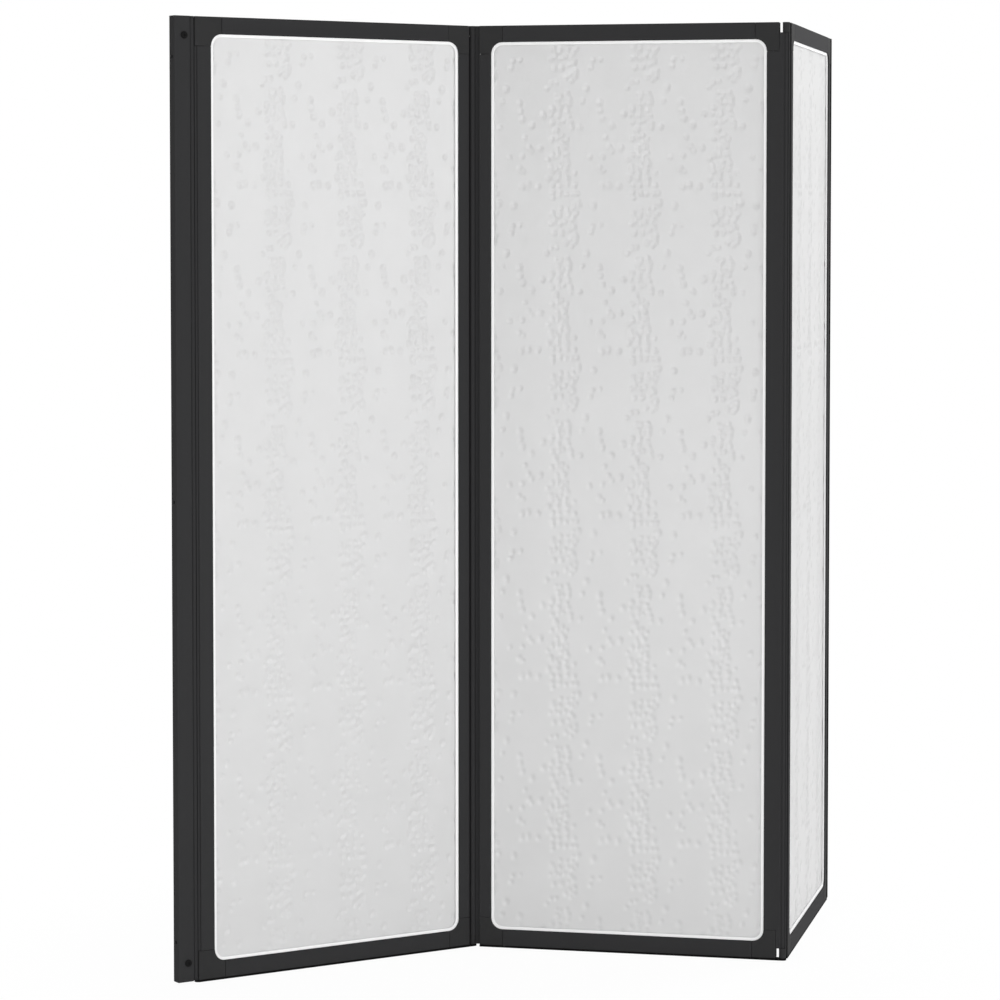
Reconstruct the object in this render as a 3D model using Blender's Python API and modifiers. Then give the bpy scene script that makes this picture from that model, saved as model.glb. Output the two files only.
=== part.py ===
"""Half height shower screen: three framed panels that fold, hung on a wall channel.

Metres, +Z up. The wall is the plane X = 0, the first panel runs along +X and the
side that faces the room is -Y. The origin lies on the wall face of the channel.
"""

import math

import bpy
import bmesh
from mathutils import Euler, Matrix, Vector

COLLECTION = "half_height_shower_screen"

# Whole screen.
SCREEN_HEIGHT = 1.320
OPENING_WIDTH = 0.3945
FRAME_THICKNESS = 0.012
ORIGIN_ABOVE_END = 0.010
GAP = 0.0003
OVERRUN = 0.004
WELD = 0.00001

# Folding. Angles are in degrees, 0 is a flat screen.
FOLD_1_REST = 45.0
FOLD_2_REST = 90.0
FOLD_MAX = 95.0
SWING_MAX = 45.0

# Hinge of two extrusions: a round bead turns inside a C-shaped barrel.
BEAD_RADIUS = 0.00345
BEAD_CLEARANCE = 0.00025
NECK_THICKNESS = 0.0017
NECK_ANGLE = 135.0
BARREL_WALL = 0.0013
BARREL_WEB_HALF = 0.0012
POST_WEB_HALF = 0.003
LIP_TIP = 0.003
PIVOT_LIP_START = 0.0033
PIVOT_LIP_FACE = 0.0045
FOLD_SIDE_ROUND = 0.0045

# Where the stiles and the corner blocks end, measured from the axis of their hinge.
FOLD_SHOULDER = 0.007
FOLD_BLOCK_END = 0.009
BARREL_SHOULDER = 0.0112
PIVOT_SHOULDER = 0.0068
POST_SHOULDER = 0.007

# Extruded stiles and rails; the stiles are measured from the axis to the opening.
BEAD_SIDE_WIDTH = 0.0265
BARREL_SIDE_WIDTH = 0.0285
PIVOT_SIDE_WIDTH = 0.028
RAIL_HEIGHT = 0.0235
GROOVE_DEPTH = 0.0085
GROOVE_HALF = 0.0042
WALL = 0.0015
EDGE_ROUND = 0.0006

# Moulded corner blocks.
BLOCK_REACH = 0.0165
OPENING_RADIUS = 0.016
SPIGOT_LENGTH = 0.020
BLOCK_BEVEL = 0.0009
SEAM = 0.0004

# Pane and its gasket.
PANE_THICKNESS = 0.003
PANE_GRIP = 0.006
RIM_WIDTH = 0.004

# Strip under the bottom rail.
STRIP_DROP = 0.003
PIVOT_STRIP_START = 0.0055
STRIP_HALF_WIDTH = 0.0055
STRIP_SLOT_HALF = 0.0015
STRIP_HEAD_HALF = 0.0030
STRIP_HEAD_HEIGHT = 0.0015

# Plugs and knuckles close the ends of the barrels; they stop short of the glazing groove.
PLUG_TO_GROOVE = 0.001
KNUCKLE_GAP = 0.0001
PLUG_CAP = 0.002
PLUG_EDGE = 0.0005

# Round buffer of the free edge.
TRIM_RADIUS = 0.0065

# Wall channel and pivot post.
CHANNEL_WIDTH = 0.0235
CHANNEL_WALL = 0.0015
PIVOT_FROM_WALL = 0.0285
POST_FROM_WALL = 0.005
WALL_HOLE_RADIUS = 0.0026
WALL_HOLE_INSET = 0.055

# Screws between the channel and the post.
SCREW_INSET = 0.026
SCREW_FROM_WALL = 0.0147
SCREW_RADIUS = 0.0018
SCREW_LENGTH = 0.009
SCREW_POINT = 0.002
SCREW_HEAD_RADIUS = 0.005
SCREW_HEAD_HEIGHT = 0.0019
SCREW_RECESS = 0.0011
SCREW_RECESS_REACH = 0.0024
SCREW_RECESS_DEPTH = 0.0011

# Counts of segments.
CORNER_STEPS = 3
OPENING_STEPS = 6
CIRCLE_STEPS = 24
TURNED_STEPS = 20
SMALL_STEPS = 16

# Sizes that follow.
FRAME_HEIGHT = SCREEN_HEIGHT - STRIP_DROP
HALF_THICKNESS = FRAME_THICKNESS / 2
CHAMBER_HALF = HALF_THICKNESS - WALL
SOCKET_RADIUS = BEAD_RADIUS + BEAD_CLEARANCE
BARREL_RADIUS = SOCKET_RADIUS + BARREL_WALL
HOOK_RADIUS = BARREL_RADIUS + GAP
NECK_HALF = NECK_THICKNESS / 2
BLOCK_HEIGHT = RAIL_HEIGHT + BLOCK_REACH
PLUG_LENGTH = RAIL_HEIGHT - GROOVE_DEPTH - PLUG_TO_GROOVE
SCREW_HOLE_RADIUS = SCREW_RADIUS + GAP

# How an outline's own x and y lie in the panel when it is drawn out along an axis.
DRAWN_ALONG = {
    "X": Matrix(((0, 0, 1), (1, 0, 0), (0, 1, 0))).to_4x4(),
    "Y": Matrix(((1, 0, 0), (0, 0, -1), (0, 1, 0))).to_4x4(),
    "Z": Matrix.Identity(4),
}


def clear_scene():
    """Remove every object of the opened file."""
    for item in list(bpy.data.objects):
        bpy.data.objects.remove(item, do_unlink=True)


def new_collection(name):
    """A collection under the scene's own."""
    made = bpy.data.collections.new(name)
    bpy.context.scene.collection.children.link(made)
    return made


def make_material(name, colour, roughness, alpha=1.0):
    """One Principled material."""
    made = bpy.data.materials.new(name)
    made.use_nodes = True
    shader = made.node_tree.nodes["Principled BSDF"]
    shader.inputs["Base Color"].default_value = (*colour, 1.0)
    shader.inputs["Roughness"].default_value = roughness
    shader.inputs["Alpha"].default_value = alpha
    made.diffuse_color = (*colour, alpha)
    return made


def polar(radius, degrees):
    """One point at an angle round the origin."""
    return (radius * math.cos(math.radians(degrees)), radius * math.sin(math.radians(degrees)))


def arc(radius, start, end):
    """Points of an arc round the origin, both ends included; angles in degrees."""
    steps = math.ceil(abs(end - start) / 360 * CIRCLE_STEPS)
    return [polar(radius, start + (end - start) * i / steps) for i in range(steps + 1)]


def rounded(corners, steps=CORNER_STEPS):
    """Points of a closed outline whose corners are (x, y) or (x, y, radius)."""
    points = []
    for i, corner in enumerate(corners):
        here = Vector(corner[:2])
        radius = corner[2] if len(corner) > 2 else 0
        if not radius:
            points.append(tuple(here))
            continue
        back = (Vector(corners[i - 1][:2]) - here).normalized()
        ahead = (Vector(corners[(i + 1) % len(corners)][:2]) - here).normalized()
        half = back.angle(ahead) / 2
        centre = here + (back + ahead).normalized() * (radius / math.sin(half))
        first = here + back * (radius / math.tan(half)) - centre
        last = here + ahead * (radius / math.tan(half)) - centre
        turn = math.atan2(first.cross(last), first.dot(last))
        for step in range(steps + 1):
            spoke = first.copy()
            spoke.rotate(Matrix.Rotation(turn * step / steps, 2))
            points.append(tuple(centre + spoke))
    return points


def mirrored(points, x=1, y=1):
    """The same outline turned over in x or y; corners keep their radii."""
    return [(px * x, py * y, *radius) for px, py, *radius in points]


def moved(points, x):
    """The same outline moved along x."""
    return [(px + x, py) for px, py in points]


def link(name, mesh, parent, collection, material=None):
    """An object for a mesh that is already in its parent's frame."""
    made = bpy.data.objects.new(name, mesh)
    made.parent = parent
    collection.objects.link(made)
    if material:
        mesh.materials.append(material)
    return made


def prism(outlines, low, high, along):
    """Mesh of a flat outline, with any holes after it, drawn out from low to high."""
    curve = bpy.data.curves.new("outline", "CURVE")
    curve.dimensions = "2D"
    curve.fill_mode = "BOTH"
    curve.extrude = (high - low) / 2
    for points in outlines:
        spline = curve.splines.new("POLY")
        spline.points.add(len(points) - 1)
        for point, (x, y) in zip(spline.points, points):
            point.co = (x, y, 0, 1)
        spline.use_cyclic_u = True
    drawn = bpy.data.objects.new("outline", curve)
    bpy.context.scene.collection.objects.link(drawn)
    graph = bpy.context.evaluated_depsgraph_get()
    mesh = bpy.data.meshes.new_from_object(drawn.evaluated_get(graph))
    bpy.data.objects.remove(drawn)
    bpy.data.curves.remove(curve)
    mesh.transform(DRAWN_ALONG[along] @ Matrix.Translation((0, 0, (low + high) / 2)))
    return closed(mesh)


def closed(mesh):
    """Weld a mesh's caps to its sides and point its faces outwards."""
    work = bmesh.new()
    work.from_mesh(mesh)
    bmesh.ops.remove_doubles(work, verts=work.verts, dist=WELD)
    bmesh.ops.recalc_face_normals(work, faces=work.faces)
    work.to_mesh(mesh)
    work.free()
    return mesh


def boxes(*limits):
    """Mesh of one or more boxes, each given by its low and its high corner."""
    work = bmesh.new()
    for low, high in limits:
        size = Vector(high) - Vector(low)
        middle = (Vector(high) + Vector(low)) / 2
        place = Matrix.Translation(middle) @ Matrix.Diagonal((*size, 1))
        bmesh.ops.create_cube(work, size=1, matrix=place)
    mesh = bpy.data.meshes.new("boxes")
    work.to_mesh(mesh)
    work.free()
    return mesh


def rod(radius, length, places, turn):
    """Mesh of equal cylinders centred on the given places."""
    work = bmesh.new()
    for place in places:
        matrix = Matrix.Translation(place) @ turn.to_matrix().to_4x4()
        bmesh.ops.create_cone(
            work, cap_ends=True, segments=SMALL_STEPS,
            radius1=radius, radius2=radius, depth=length, matrix=matrix)
    mesh = bpy.data.meshes.new("rods")
    work.to_mesh(mesh)
    work.free()
    return mesh


def turned(name, profile, steps, parent, collection, material):
    """A turned piece; the profile runs down its outer side as (radius, height)."""
    mesh = bpy.data.meshes.new(name)
    edges = [(i, i + 1) for i in range(len(profile) - 1)]
    mesh.from_pydata([(r, 0, z) for r, z in profile], edges, [])
    made = link(name, mesh, parent, collection, material)
    screw = made.modifiers.new("turn", "SCREW")
    screw.steps = steps
    screw.render_steps = steps
    screw.use_merge_vertices = True
    screw.merge_threshold = WELD
    return made


def combine(target, other, operation):
    """Exact Boolean of target with another object."""
    step = target.modifiers.new(operation.lower(), "BOOLEAN")
    step.operation = operation
    step.solver = "EXACT"
    step.object = other


class Frame:
    """The hinge frame that pieces hang on, with where pieces and cutters are kept."""

    def __init__(self, name, parent, place, turn, parts, cutters):
        self.name = name
        self.parts = parts
        self.cutters = cutters
        self.empty = bpy.data.objects.new(name + "_axis", None)
        self.empty.parent = parent.empty if parent else None
        self.empty.location = place
        self.empty.rotation_euler = (0, 0, math.radians(turn))
        parts.objects.link(self.empty)

    def add(self, piece, mesh, material):
        """A sub-part of this frame."""
        return link(f"{self.name}_{piece}", mesh, self.empty, self.parts, material)

    def turn(self, piece, profile, material, steps=TURNED_STEPS):
        """A turned sub-part of this frame."""
        return turned(f"{self.name}_{piece}", profile, steps, self.empty, self.parts, material)

    def cutter(self, piece, mesh):
        """A guide that cuts or joins, and is no part itself."""
        made = link(f"{self.name}_{piece}_cutter", mesh, self.empty, self.cutters)
        made.hide_render = True
        made.display_type = "WIRE"
        return made


def bead_loop(neck_angle, root_radius):
    """Neck and bead, from one side of the neck's root round to the other."""
    at_bead = math.degrees(math.asin(NECK_HALF / BEAD_RADIUS))
    at_root = math.degrees(math.asin(NECK_HALF / root_radius))
    return [
        polar(root_radius, neck_angle + at_root),
        *arc(BEAD_RADIUS, neck_angle + at_bead, neck_angle - at_bead + 360),
        polar(root_radius, neck_angle - at_root),
    ]


def stile_edge(width):
    """Corners of a stile's glazing side, from its front to its back, at -x."""
    groove_floor = GROOVE_DEPTH - width
    return [
        (-width, HALF_THICKNESS, EDGE_ROUND),
        (-width, GROOVE_HALF),
        (groove_floor, GROOVE_HALF),
        (groove_floor, -GROOVE_HALF),
        (-width, -GROOVE_HALF),
        (-width, -HALF_THICKNESS, EDGE_ROUND),
    ]


def folding_bead_outline():
    """Bead stile that folds to -y; its lip at +y covers the barrel. Axis at 0, 0."""
    hook_start = NECK_ANGLE + 2 * math.degrees(math.asin(LIP_TIP / 2 / HOOK_RADIUS))
    lip_root = math.sqrt(HOOK_RADIUS ** 2 - LIP_TIP ** 2)
    corners = [
        *stile_edge(BEAD_SIDE_WIDTH),
        (-FOLD_SHOULDER, -HALF_THICKNESS, FOLD_SIDE_ROUND),
        (-FOLD_SHOULDER, 0),
        polar(HOOK_RADIUS, hook_start),
        *bead_loop(NECK_ANGLE, HOOK_RADIUS),
        (-LIP_TIP, lip_root),
        (-LIP_TIP, HALF_THICKNESS, EDGE_ROUND),
    ]
    return rounded(corners)


def swinging_bead_outline():
    """Bead stile that swings both ways, with its neck in the middle. Axis at 0, 0."""
    root = math.hypot(PIVOT_SHOULDER, NECK_HALF)
    corners = [
        *stile_edge(PIVOT_SIDE_WIDTH),
        (-PIVOT_SHOULDER, -HALF_THICKNESS, EDGE_ROUND),
        *bead_loop(180, root),
        (-PIVOT_SHOULDER, HALF_THICKNESS, EDGE_ROUND),
    ]
    return rounded(corners)


def pivot_lip_outline():
    """Lip that covers the gap beside the wall post's barrel, up to the stile's wall at -x."""
    in_wall = -PIVOT_SHOULDER - WALL / 2
    in_neck = NECK_HALF / 2
    tip = math.degrees(math.acos(-PIVOT_LIP_START / HOOK_RADIUS))
    root = 180 - math.degrees(math.asin(in_neck / HOOK_RADIUS))
    return [
        *arc(HOOK_RADIUS, tip, root),
        (in_wall, in_neck),
        (in_wall, PIVOT_LIP_FACE),
        (-PIVOT_LIP_START, PIVOT_LIP_FACE),
    ]


def barrel_loop(open_from, open_to, web_half):
    """C-shaped barrel that opens between two angles, joined to a web at +x."""
    web = math.degrees(math.asin(web_half / BARREL_RADIUS))
    return [
        *arc(BARREL_RADIUS, -web, open_to - 360),
        *arc(SOCKET_RADIUS, open_to - 360, open_from),
        *arc(BARREL_RADIUS, open_from, web),
    ]


def neck_room():
    """Half of the angle that the neck and its clearance fill at the socket's wall."""
    return math.degrees(math.asin((NECK_HALF + BEAD_CLEARANCE) / SOCKET_RADIUS))


def barrel_stile_outline():
    """Barrel stile that folds to -y; it lies at +x of the axis at 0, 0."""
    room = neck_room()
    corners = [
        *mirrored(stile_edge(BARREL_SIDE_WIDTH), x=-1),
        (BARREL_SHOULDER, -HALF_THICKNESS, EDGE_ROUND),
        (BARREL_SHOULDER, -BARREL_WEB_HALF),
        *barrel_loop(NECK_ANGLE - room, NECK_ANGLE + FOLD_MAX + room, BARREL_WEB_HALF),
        (BARREL_SHOULDER, BARREL_WEB_HALF),
        (BARREL_SHOULDER, HALF_THICKNESS, EDGE_ROUND),
    ]
    return rounded(corners)


def rectangle(low_x, low_y, high_x, high_y):
    """Corners of a plain rectangle."""
    return [(low_x, low_y), (high_x, low_y), (high_x, high_y), (low_x, high_y)]


def grown_opening(opening, grow):
    """The panel's rounded opening, grown on every side."""
    left, right, bottom, top = opening
    radius = OPENING_RADIUS + grow
    corners = [
        (left - grow, bottom - grow, radius),
        (right + grow, bottom - grow, radius),
        (right + grow, top + grow, radius),
        (left - grow, top + grow, radius),
    ]
    return rounded(corners, OPENING_STEPS)


def make_stile(frame, piece, outline, chamber, cut_from, cut_to, end_gap, material):
    """Hollow stile; between the two x values it is cut back where the corner blocks sit."""
    outlines = [outline, rectangle(chamber[0], -CHAMBER_HALF, chamber[1], CHAMBER_HALF)]
    low = PLUG_LENGTH + end_gap
    stile = frame.add(piece, prism(outlines, low, FRAME_HEIGHT - low, "Z"), material)
    y = HALF_THICKNESS + OVERRUN
    block = BLOCK_HEIGHT + SEAM
    guide = frame.cutter(piece, boxes(
        ((cut_from, -y, -OVERRUN), (cut_to, y, block)),
        ((cut_from, -y, FRAME_HEIGHT - block), (cut_to, y, FRAME_HEIGHT + OVERRUN))))
    combine(stile, guide, "DIFFERENCE")
    return stile


def make_pivot_lips(frame, stile):
    """Front and back lip along the first panel's left stile, between its corner blocks."""
    block = BLOCK_HEIGHT + SEAM
    for side, y in (("back", 1), ("front", -1)):
        outline = mirrored(pivot_lip_outline(), x=-1, y=y)
        lip = frame.cutter(f"pivot_lip_{side}", prism([outline], block, FRAME_HEIGHT - block, "Z"))
        combine(stile, lip, "UNION")


def make_rails(frame, low_x, high_x, material):
    """Both rails; the bottom one has a slot for the strip below it."""
    floor = RAIL_HEIGHT - GROOVE_DEPTH
    chamber_top = floor - WALL
    groove = [
        (HALF_THICKNESS, RAIL_HEIGHT, EDGE_ROUND),
        (GROOVE_HALF, RAIL_HEIGHT),
        (GROOVE_HALF, floor),
        (-GROOVE_HALF, floor),
        (-GROOVE_HALF, RAIL_HEIGHT),
        (-HALF_THICKNESS, RAIL_HEIGHT, EDGE_ROUND),
    ]
    feet = [(-HALF_THICKNESS, 0, EDGE_ROUND), (HALF_THICKNESS, 0, EDGE_ROUND)]
    slotted = [
        *groove,
        feet[0],
        (-STRIP_SLOT_HALF, 0),
        (-STRIP_SLOT_HALF, WALL),
        (-CHAMBER_HALF, WALL),
        (-CHAMBER_HALF, chamber_top),
        (CHAMBER_HALF, chamber_top),
        (CHAMBER_HALF, WALL),
        (STRIP_SLOT_HALF, WALL),
        (STRIP_SLOT_HALF, 0),
        feet[1],
    ]
    frame.add("rail_bottom", prism([rounded(slotted)], low_x, high_x, "X"), material)
    plain = [rounded([*groove, *feet]), rectangle(-CHAMBER_HALF, WALL, CHAMBER_HALF, chamber_top)]
    raised = [[(y, FRAME_HEIGHT - z) for y, z in outline] for outline in plain]
    frame.add("rail_top", prism(raised, low_x, high_x, "X"), material)


def knuckle_outline(block_start):
    """Round knuckle about 0, 0 with a web that reaches to x = block_start."""
    web = math.degrees(math.asin(BARREL_WEB_HALF / BARREL_RADIUS))
    return [
        *arc(BARREL_RADIUS, web, 360 - web),
        (block_start, -BARREL_WEB_HALF),
        (block_start, BARREL_WEB_HALF),
    ]


def make_corner(frame, piece, block_x, chamber, upright, has_knuckle, guides, material):
    """Corner block with its spigots; upright is 1 at the bottom and -1 at the top.

    A block beside a barrel has a knuckle, which closes the barrel's end.
    """
    def levels(*heights):
        return sorted(z if upright > 0 else FRAME_HEIGHT - z for z in heights)

    def span(x_range, half_y, z_range):
        bottom, top = levels(*z_range)
        low, high = sorted(x_range)
        return (low, -half_y, bottom), (high, half_y, top)

    outer, inner = block_x
    inward = 1 if inner > outer else -1
    block = frame.add(piece, boxes(span((outer, inner), HALF_THICKNESS, (0, BLOCK_HEIGHT))), material)
    bevel = block.modifiers.new("edges", "BEVEL")
    bevel.width = BLOCK_BEVEL
    bevel.segments = 2
    fit = CHAMBER_HALF - GAP
    root = BLOCK_REACH / 2
    spigots = frame.cutter(piece + "_spigots", boxes(
        span((chamber[0] + GAP, chamber[1] - GAP), fit,
             (BLOCK_HEIGHT - root, BLOCK_HEIGHT + SPIGOT_LENGTH)),
        span((inner - inward * root, inner + inward * SPIGOT_LENGTH), fit,
             (WALL + GAP, RAIL_HEIGHT - GROOVE_DEPTH - WALL - GAP))))
    combine(block, spigots, "UNION")
    if has_knuckle:
        knuckle = prism([knuckle_outline(outer + root)], *levels(0, PLUG_LENGTH), "Z")
        combine(block, frame.cutter(piece + "_knuckle", knuckle), "UNION")
    for guide in guides:
        combine(block, guide, "DIFFERENCE")


def make_glazing(frame, opening, pane_material, seal_material):
    """Pane and the U-section gasket round its edge."""
    half_pane = PANE_THICKNESS / 2
    pane = prism([grown_opening(opening, PANE_GRIP)], -half_pane, half_pane, "Y")
    frame.add("pane", pane, pane_material)
    half_seal = GROOVE_HALF - GAP
    ring = [grown_opening(opening, GROOVE_DEPTH - GAP), grown_opening(opening, -RIM_WIDTH)]
    seal = frame.add("glazing_seal", prism(ring, -half_seal, half_seal, "Y"), seal_material)
    half_slot = half_pane + GAP
    slot = prism([grown_opening(opening, PANE_GRIP + GAP)], -half_slot, half_slot, "Y")
    combine(seal, frame.cutter("glazing_slot", slot), "DIFFERENCE")


def make_bottom_seal(frame, start_x, start_round, end_x, slot_x, material):
    """Strip under the rail, held by a head that lies in the rail's chamber."""
    width = STRIP_HALF_WIDTH
    if start_round:
        start = [(start_x + x, y) for x, y in arc(width, 90, 270)]
    else:
        start = [(start_x, width), (start_x, -width)]
    end = [(end_x + x, y) for x, y in arc(width, -90, 90)]
    strip = frame.add("bottom_seal", prism([start + end], -STRIP_DROP, -GAP, "Z"), material)
    neck = STRIP_SLOT_HALF - GAP
    under_head = WALL + GAP
    head_top = under_head + STRIP_HEAD_HEIGHT
    section = [
        (-neck, -STRIP_DROP / 2),
        (neck, -STRIP_DROP / 2),
        (neck, under_head),
        (STRIP_HEAD_HALF, under_head + STRIP_HEAD_HEIGHT / 2),
        (neck, head_top),
        (-neck, head_top),
        (-STRIP_HEAD_HALF, under_head + STRIP_HEAD_HEIGHT / 2),
        (-neck, under_head),
    ]
    rib = frame.cutter("strip_rib", prism([section], *slot_x, "X"))
    combine(strip, rib, "UNION")


def make_plugs(frame, piece, axis_x, cap_radius, material):
    """Two plugs that close the ends of the post's barrel or of the edge buffer."""
    stem = SOCKET_RADIUS - GAP
    profile = [
        (0, 0),
        (cap_radius - PLUG_EDGE, 0),
        (cap_radius, -PLUG_EDGE),
        (cap_radius, -PLUG_CAP),
        (stem, -PLUG_CAP),
        (stem, -PLUG_LENGTH),
        (0, -PLUG_LENGTH),
    ]
    top = frame.turn(f"{piece}_top", profile, material)
    top.location = (axis_x, 0, FRAME_HEIGHT)
    bottom = frame.turn(f"{piece}_bottom", profile, material)
    bottom.location = (axis_x, 0, 0)
    bottom.rotation_euler = (math.pi, 0, 0)


def make_edge_trim(frame, axis_x, material):
    """Round buffer clipped over the bead of the free edge, between its plugs."""
    room = neck_room()
    shoulder = LIP_TIP - GAP
    wide = math.degrees(math.acos(-shoulder / TRIM_RADIUS))
    narrow = math.degrees(math.acos(-shoulder / BARREL_RADIUS))
    slot_edge = math.degrees(math.asin((NECK_HALF + BEAD_CLEARANCE) / BARREL_RADIUS))
    outline = [
        *arc(TRIM_RADIUS, -wide, wide),
        *arc(SOCKET_RADIUS, NECK_ANGLE - room, NECK_ANGLE + room - 360),
        *arc(BARREL_RADIUS, NECK_ANGLE + slot_edge - 360, -narrow),
    ]
    low = PLUG_CAP + GAP
    frame.add("edge_trim", prism([moved(outline, axis_x)], low, FRAME_HEIGHT - low, "Z"), material)


def make_panel(frame, has_barrel, fold_side, kit):
    """One framed panel; has_barrel says that its left stile ends in a barrel, not a bead.

    fold_side is -1 when its right hinge folds to the front.
    """
    if has_barrel:
        left_width, left_shoulder, left_end = BARREL_SIDE_WIDTH, BARREL_SHOULDER, BARREL_SHOULDER
        left_cut, left_gap, strip_start = left_end - GAP, KNUCKLE_GAP, left_end
        left_outline = mirrored(barrel_stile_outline(), y=fold_side)
    else:
        left_width, left_shoulder, left_end = PIVOT_SIDE_WIDTH, PIVOT_SHOULDER, PIVOT_LIP_START
        neck_end = math.sqrt(HOOK_RADIUS ** 2 - NECK_HALF ** 2)
        left_cut, left_gap, strip_start = neck_end - GAP, GAP, PIVOT_STRIP_START
        left_outline = mirrored(swinging_bead_outline(), x=-1)
    right_axis = left_width + OPENING_WIDTH + BEAD_SIDE_WIDTH
    opening = (left_width, left_width + OPENING_WIDTH, RAIL_HEIGHT, FRAME_HEIGHT - RAIL_HEIGHT)
    left_chamber = (left_shoulder + WALL, left_width - GROOVE_DEPTH - WALL)
    right_chamber = (
        opening[1] + GROOVE_DEPTH + WALL,
        right_axis - FOLD_SHOULDER - FOLD_SIDE_ROUND + WALL)
    left_block = (left_end, opening[0] + BLOCK_REACH)
    right_block = (right_axis - FOLD_BLOCK_END, opening[1] - BLOCK_REACH)

    left_stile = make_stile(
        frame, "stile_left", left_outline, left_chamber,
        left_cut, left_width + OVERRUN, left_gap, kit["frame"])
    if not has_barrel:
        make_pivot_lips(frame, left_stile)
    right_outline = moved(mirrored(folding_bead_outline(), y=-fold_side), right_axis)
    make_stile(
        frame, "stile_right", right_outline, right_chamber,
        opening[1] - OVERRUN, right_block[0] + GAP, GAP, kit["frame"])
    make_rails(frame, left_block[1] + SEAM, right_block[1] - SEAM, kit["frame"])

    through = HALF_THICKNESS + OVERRUN
    guides = (
        frame.cutter("opening", prism([grown_opening(opening, 0)], -through, through, "Y")),
        frame.cutter("groove", prism(
            [grown_opening(opening, GROOVE_DEPTH)], -GROOVE_HALF, GROOVE_HALF, "Y")),
    )
    left_guides = guides
    if not has_barrel:
        ring = arc(HOOK_RADIUS, 0, 360)[1:]
        left_guides += (frame.cutter(
            "barrel_room", prism([ring], -OVERRUN, FRAME_HEIGHT + OVERRUN, "Z")),)
    for side, block_x, chamber, has_knuckle, side_guides in (
            ("left", left_block, left_chamber, has_barrel, left_guides),
            ("right", right_block, right_chamber, False, guides)):
        for end, upright in (("bottom", 1), ("top", -1)):
            make_corner(
                frame, f"corner_{end}_{side}", block_x, chamber, upright, has_knuckle,
                side_guides, kit["block"])

    make_glazing(frame, opening, kit["pane"], kit["seal"])
    spigot_room = SPIGOT_LENGTH + GAP
    slot_x = (left_block[1] + spigot_room, right_block[1] - spigot_room)
    make_bottom_seal(frame, strip_start, not has_barrel, right_axis, slot_x, kit["strip"])
    return right_axis


def make_wall_channel(frame, kit):
    """U-shaped channel with its wall holes and its two side holes."""
    half = HALF_THICKNESS + CHANNEL_WALL
    outline = rounded([
        (0, -half, EDGE_ROUND),
        (CHANNEL_WIDTH, -half, EDGE_ROUND),
        (CHANNEL_WIDTH, CHANNEL_WALL - half),
        (CHANNEL_WALL, CHANNEL_WALL - half),
        (CHANNEL_WALL, half - CHANNEL_WALL),
        (CHANNEL_WIDTH, half - CHANNEL_WALL),
        (CHANNEL_WIDTH, half, EDGE_ROUND),
        (0, half, EDGE_ROUND),
    ])
    channel = frame.add("channel", prism([outline], 0, FRAME_HEIGHT, "Z"), kit["frame"])
    heights = (WALL_HOLE_INSET, FRAME_HEIGHT / 2, FRAME_HEIGHT - WALL_HOLE_INSET)
    through = 2 * CHANNEL_WALL + OVERRUN
    wall_holes = rod(
        WALL_HOLE_RADIUS, through, [(0, 0, z) for z in heights], Euler((0, math.pi / 2, 0)))
    combine(channel, frame.cutter("wall_holes", wall_holes), "DIFFERENCE")
    side_holes = frame.cutter("side_holes", rod(
        SCREW_HOLE_RADIUS, 2 * (CHANNEL_WALL + WALL) + OVERRUN,
        [(SCREW_FROM_WALL, -half, z) for z in (SCREW_INSET, FRAME_HEIGHT - SCREW_INSET)],
        Euler((math.pi / 2, 0, 0))))
    combine(channel, side_holes, "DIFFERENCE")
    return side_holes


def make_pivot_post(frame, side_holes, kit):
    """Post inside the channel; its barrel opens towards the first panel."""
    half = HALF_THICKNESS - GAP
    room = neck_room()
    depth = PIVOT_FROM_WALL - POST_FROM_WALL
    corners = [
        (depth, half, EDGE_ROUND),
        (depth, -half, EDGE_ROUND),
        (POST_SHOULDER, -half, EDGE_ROUND),
        (POST_SHOULDER, -POST_WEB_HALF),
        *barrel_loop(180 - SWING_MAX - room, 180 + SWING_MAX + room, POST_WEB_HALF),
        (POST_SHOULDER, POST_WEB_HALF),
        (POST_SHOULDER, half, EDGE_ROUND),
    ]
    body = moved(mirrored(rounded(corners), x=-1), PIVOT_FROM_WALL)
    chamber = rectangle(
        POST_FROM_WALL + WALL, WALL - half,
        PIVOT_FROM_WALL - POST_SHOULDER - WALL, half - WALL)
    post = frame.add("pivot_post", prism([body, chamber], 0, FRAME_HEIGHT, "Z"), kit["frame"])
    combine(post, side_holes, "DIFFERENCE")
    cap = PLUG_CAP + GAP
    low_x = PIVOT_FROM_WALL - POST_SHOULDER + GAP
    high_x = PIVOT_FROM_WALL + BARREL_RADIUS + OVERRUN
    y = HALF_THICKNESS + OVERRUN
    ends = frame.cutter("post_ends", boxes(
        ((low_x, -y, -OVERRUN), (high_x, y, cap)),
        ((low_x, -y, FRAME_HEIGHT - cap), (high_x, y, FRAME_HEIGHT + OVERRUN))))
    combine(post, ends, "DIFFERENCE")


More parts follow.
